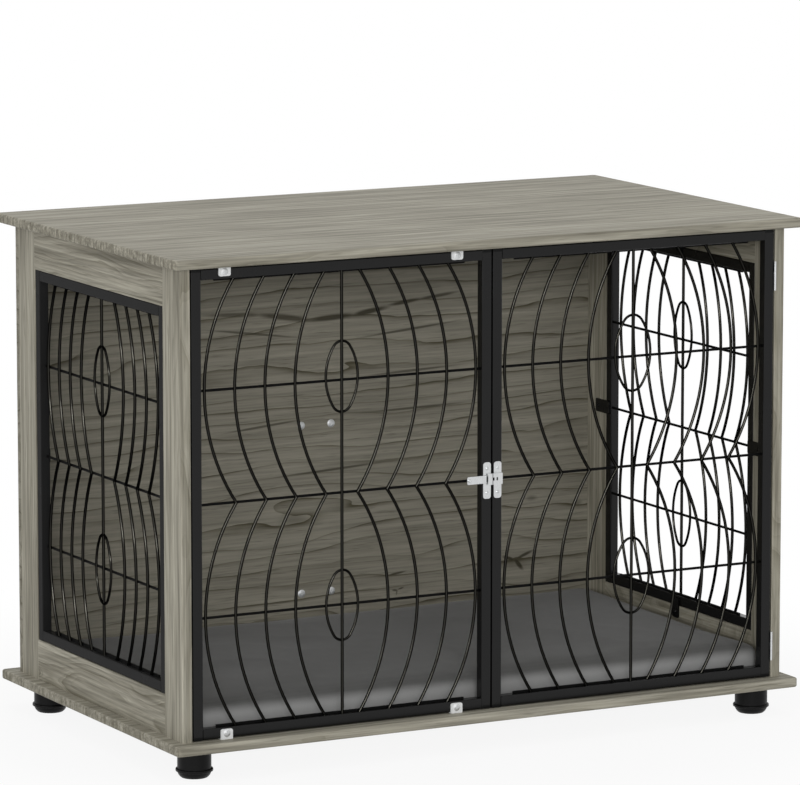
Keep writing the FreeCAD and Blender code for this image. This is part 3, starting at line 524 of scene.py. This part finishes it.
class CRATE_OT_cushion(bpy.types.Operator):
    """Stuffs the canvas pad that lies on the floor of the crate"""

    bl_idname = "crate.cushion"
    bl_label = "Stuffed pad"

    def execute(self, context):
        sizes = context.scene.crate_cushion
        low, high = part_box("cushion")
        pad = self.blank(context, sizes, low, high)
        self.stuff(context, sizes, pad)
        smooth = pad.modifiers.new("Subdivision", "SUBSURF")
        smooth.levels = smooth.render_levels = 1
        bpy.ops.object.modifier_apply(modifier=smooth.name)
        self.settle(sizes, pad, low, high)
        bpy.ops.object.shade_smooth()
        pad.data.materials.append(self.canvas(context.scene.crate_finishes))
        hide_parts("cushion")
        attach(pad, "root")
        return {"FINISHED"}

    def blank(self, context, sizes, low, high):
        """The pad before stuffing: its solid, a little smaller, in an even mesh."""
        bpy.ops.object.select_all(action="DESELECT")
        mesh = frame["nodes"]["cushion"].data.copy()
        mesh.materials.clear()
        pad = bpy.data.objects.new("canvas_pad", mesh)
        context.scene.collection.objects.link(pad)
        context.view_layer.objects.active = pad
        pad.select_set(True)
        bpy.ops.object.mode_set(mode="EDIT")
        bpy.ops.mesh.select_all(action="SELECT")
        bpy.ops.mesh.remove_doubles(threshold=MERGE)
        bpy.ops.mesh.normals_make_consistent(inside=False)
        size = high - low
        middle = (low + high) / 2
        shrink = (1 - 2 * sizes.shrink / size.x, 1 - 2 * sizes.shrink / size.y, 1 - sizes.shrink / size.z)
        bpy.ops.transform.resize(value=shrink, center_override=(middle.x, middle.y, low.z))
        bpy.ops.object.mode_set(mode="OBJECT")
        remesh = pad.modifiers.new("Remesh", "REMESH")
        remesh.mode = "VOXEL"
        remesh.voxel_size = sizes.voxel
        bpy.ops.object.modifier_apply(modifier=remesh.name)
        return pad

    def stuff(self, context, sizes, pad):
        """Swells the pad by pressure from inside, and holds back the points that move too far."""
        start = [v.co.copy() for v in pad.data.vertices]
        cloth = pad.modifiers.new("Cloth", "CLOTH")
        cloth.settings.use_pressure = True
        cloth.settings.uniform_pressure_force = sizes.pressure
        cloth.settings.effector_weights.gravity = 0.0
        cloth.settings.quality = 4
        cloth.collision_settings.use_collision = False
        for step in STUFFING:
            context.scene.frame_set(step)
        bpy.ops.object.modifier_apply(modifier=cloth.name)
        context.scene.frame_set(STUFFING[0])
        for vertex, old in zip(pad.data.vertices, start):
            move = vertex.co - old
            if move.length > sizes.cap:
                vertex.co = old + move.normalized() * sizes.cap

    def settle(self, sizes, pad, low, high):
        """Lets the pad out to its solid, and presses soft dents into its top."""
        size = high - low
        # Stuffing draws the sides in, so the pad gets back the length and depth of its solid.
        spread = [max(side) - min(side) for side in zip(*(v.co for v in pad.data.vertices))]
        bpy.ops.object.mode_set(mode="EDIT")
        bpy.ops.mesh.select_all(action="SELECT")
        bpy.ops.transform.resize(
            value=(size.x / spread[0], size.y / spread[1], 1.0), center_override=(low + high) / 2)
        bpy.ops.object.mode_set(mode="OBJECT")
        for vertex in pad.data.vertices:
            # Soft dents grow from the floor up, so the pad lies flat.
            rise = max(0.0, (vertex.co.z - low.z) / size.z)
            vertex.co.z += rise * sizes.dent * noise.noise(vertex.co / sizes.dent_size)
            vertex.co = [min(max(value, floor - sizes.proud), top + sizes.proud)
                         for value, floor, top in zip(vertex.co, low, high)]
            vertex.co.z = max(vertex.co.z, low.z)

    def canvas(self, looks):
        """Plain-woven cotton canvas: matt, mottled, with a fine even thread, and painted light on its sides."""
        material, tree, place = new_material("grey_canvas")
        scale = WAVE_STEP / THREAD
        weave = None
        for direction in ("X", "Y", "Z"):
            thread = node(tree, "ShaderNodeTexWave", {
                "Vector": place, "Scale": scale, "Distortion": 0.6, "Detail": 1.0},
                wave_type="BANDS", bands_direction=direction)
            weave = node(tree, "ShaderNodeMath", {0: weave, 1: thread}, operation="ADD") if weave else thread
        mottle = node(tree, "ShaderNodeTexNoise", {"Vector": place, "Scale": 1 / (25 * MM), "Detail": 4.0})
        # The threads show faintly in the mottle.
        blend = node(tree, "ShaderNodeMath", {0: weave, 1: 0.12, 2: mottle}, operation="MULTIPLY_ADD")
        tone = node(tree, "ShaderNodeMix", {
            SHARE: blend, FIRST: looks.canvas_dark, SECOND: looks.canvas_light}, data_type="RGBA")
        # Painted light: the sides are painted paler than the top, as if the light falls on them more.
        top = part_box("cushion")[1].z
        height = node(tree, "ShaderNodeSeparateXYZ", {"Vector": place})
        side = node(tree, "ShaderNodeMapRange", {
            "Value": height.outputs["Z"], "From Min": top - PAINTED_SIDE_LIGHT_END[0], "From Max": top - PAINTED_SIDE_LIGHT_END[1],
            "To Min": 1.0, "To Max": 0.0}, interpolation_type="SMOOTHSTEP")
        tone = node(tree, "ShaderNodeMix", {SHARE: side, FIRST: tone, SECOND: looks.canvas_side_painted_light}, data_type="RGBA")
        relief = node(tree, "ShaderNodeBump", {"Strength": 0.3, "Distance": 0.2 * MM, "Height": weave})
        finish(tree, {
            "Base Color": tone, "Normal": relief, "Roughness": 0.9, "Sheen Weight": 0.15, "Sheen Roughness": 0.5})
        return material


class CRATE_OT_studio(bpy.types.Operator):
    """Sets up floor, backdrop, soft lamps and the camera"""

    bl_idname = "crate.studio"
    bl_label = "Studio"

    def execute(self, context):
        studio = context.scene.crate_studio
        scene = context.scene
        scene.view_settings.view_transform = "Standard"
        bpy.ops.object.select_all(action="DESELECT")
        bpy.ops.mesh.primitive_plane_add(size=studio.floor, location=(0.0, 0.0, 0.0))
        floor = context.object
        floor.name = "floor"
        floor.data.materials.append(self.paper())
        self.backdrop(scene, studio)
        lamps = (
            # name, watts, width, height, place
            ("key", studio.key, 5.0, 1.1, (-3.4, -8.3, 2.4)),
            ("side", studio.side, 3.0, 1.2, (-7.5, -3.0, 1.6)),
            ("top", studio.top, 3.0, 3.0, (0.0, 0.0, 5.0)),
        )
        for name, watts, width, height, place in lamps:
            lamp = bpy.data.lights.new(name, "AREA")
            lamp.energy = watts
            lamp.shape = "RECTANGLE"
            lamp.size = width
            lamp.size_y = height
            stand = bpy.data.objects.new(name, lamp)
            scene.collection.objects.link(stand)
            stand.location = place
            aim = LAMP_AIM - stand.location
            stand.rotation_euler = aim.to_track_quat("-Z", "Y").to_euler()
        camera = bpy.data.cameras.new("camera")
        camera.lens = studio.lens
        camera.sensor_width = SENSOR_WIDTH
        eye = bpy.data.objects.new("camera", camera)
        scene.collection.objects.link(eye)
        eye.location = studio.eye
        eye.rotation_euler = (math.radians(90) - studio.pitch, 0.0, -studio.yaw)
        scene.camera = eye
        return {"FINISHED"}

    def seen(self, tree):
        """1 where a ray comes from the eye, straight or by way of metal or plastic."""
        ray = node(tree, "ShaderNodeLightPath")
        mirrored = node(tree, "ShaderNodeMath", {
            0: ray.outputs["Is Camera Ray"], 1: ray.outputs["Is Glossy Ray"]}, operation="MAXIMUM")
        return node(tree, "ShaderNodeMath", {
            0: mirrored, 1: ray.outputs["Is Transmission Ray"]}, operation="MAXIMUM")

    def paper(self):
        """Pale studio paper: it takes the crate's shadow and fades to white further off."""
        material, tree, place = new_material("studio_paper")
        off = node(tree, "ShaderNodeVectorMath", {0: place}, operation="LENGTH")
        fade = node(tree, "ShaderNodeMapRange", {
            "Value": off, "From Min": SHADOW_REACH[0], "From Max": SHADOW_REACH[1], "To Min": SHADOW_WHITE},
            interpolation_type="SMOOTHSTEP")
        share = node(tree, "ShaderNodeMath", {0: fade, 1: self.seen(tree)}, operation="MULTIPLY")
        matt = node(tree, "ShaderNodeBsdfDiffuse", {"Color": linear("#e2e2e2")})
        white = node(tree, "ShaderNodeEmission", {"Strength": 1.0})
        mixed = node(tree, "ShaderNodeMixShader", {0: share, 1: matt, 2: white})
        node(tree, "ShaderNodeOutputMaterial", {"Surface": mixed})
        return material

    def backdrop(self, scene, studio):
        """White all round for the eye, and an even sky for the light."""
        world = bpy.data.worlds.new("studio")
        world.use_nodes = True
        tree = world.node_tree
        tree.nodes.clear()
        strength = node(tree, "ShaderNodeMapRange", {"Value": self.seen(tree), "To Min": studio.sky, "To Max": 1.0})
        sky = node(tree, "ShaderNodeBackground", {"Color": linear("#ffffff"), "Strength": strength})
        node(tree, "ShaderNodeOutputWorld", {"Surface": sky})
        scene.world = world


class CRATE_PT_panel(bpy.types.Panel):
    """Sidebar panel with the crate's sizes, colours and steps"""

    bl_idname = "CRATE_PT_panel"
    bl_label = "Pet crate"
    bl_space_type = "VIEW_3D"
    bl_region_type = "UI"
    bl_category = "Crate"

    def draw(self, context):
        for group in GROUPS:
            settings = getattr(context.scene, group)
            for key in settings.bl_rna.properties.keys():
                if key not in ("rna_type", "name"):
                    self.layout.prop(settings, key)
        for step in STEPS:
            self.layout.operator(step.bl_idname)


GROUPS = {"crate_finishes": CrateFinishes, "crate_cushion": CrateCushion, "crate_studio": CrateStudio}
STEPS = (CRATE_OT_oak, CRATE_OT_coat, CRATE_OT_zinc, CRATE_OT_plastic, CRATE_OT_cushion, CRATE_OT_studio)


def register():
    for kind in (*GROUPS.values(), *STEPS, CRATE_PT_panel):
        bpy.utils.register_class(kind)
    for name, group in GROUPS.items():
        setattr(bpy.types.Scene, name, bpy.props.PointerProperty(type=group))


def unregister():
    for name in GROUPS:
        delattr(bpy.types.Scene, name)
    for kind in reversed((*GROUPS.values(), *STEPS, CRATE_PT_panel)):
        bpy.utils.unregister_class(kind)


def main():
    register()
    bpy.ops.crate.oak()
    bpy.ops.crate.coat()
    bpy.ops.crate.zinc()
    bpy.ops.crate.plastic()
    bpy.ops.crate.cushion()
    bpy.ops.crate.studio()


if __name__ == "__main__":
    main()
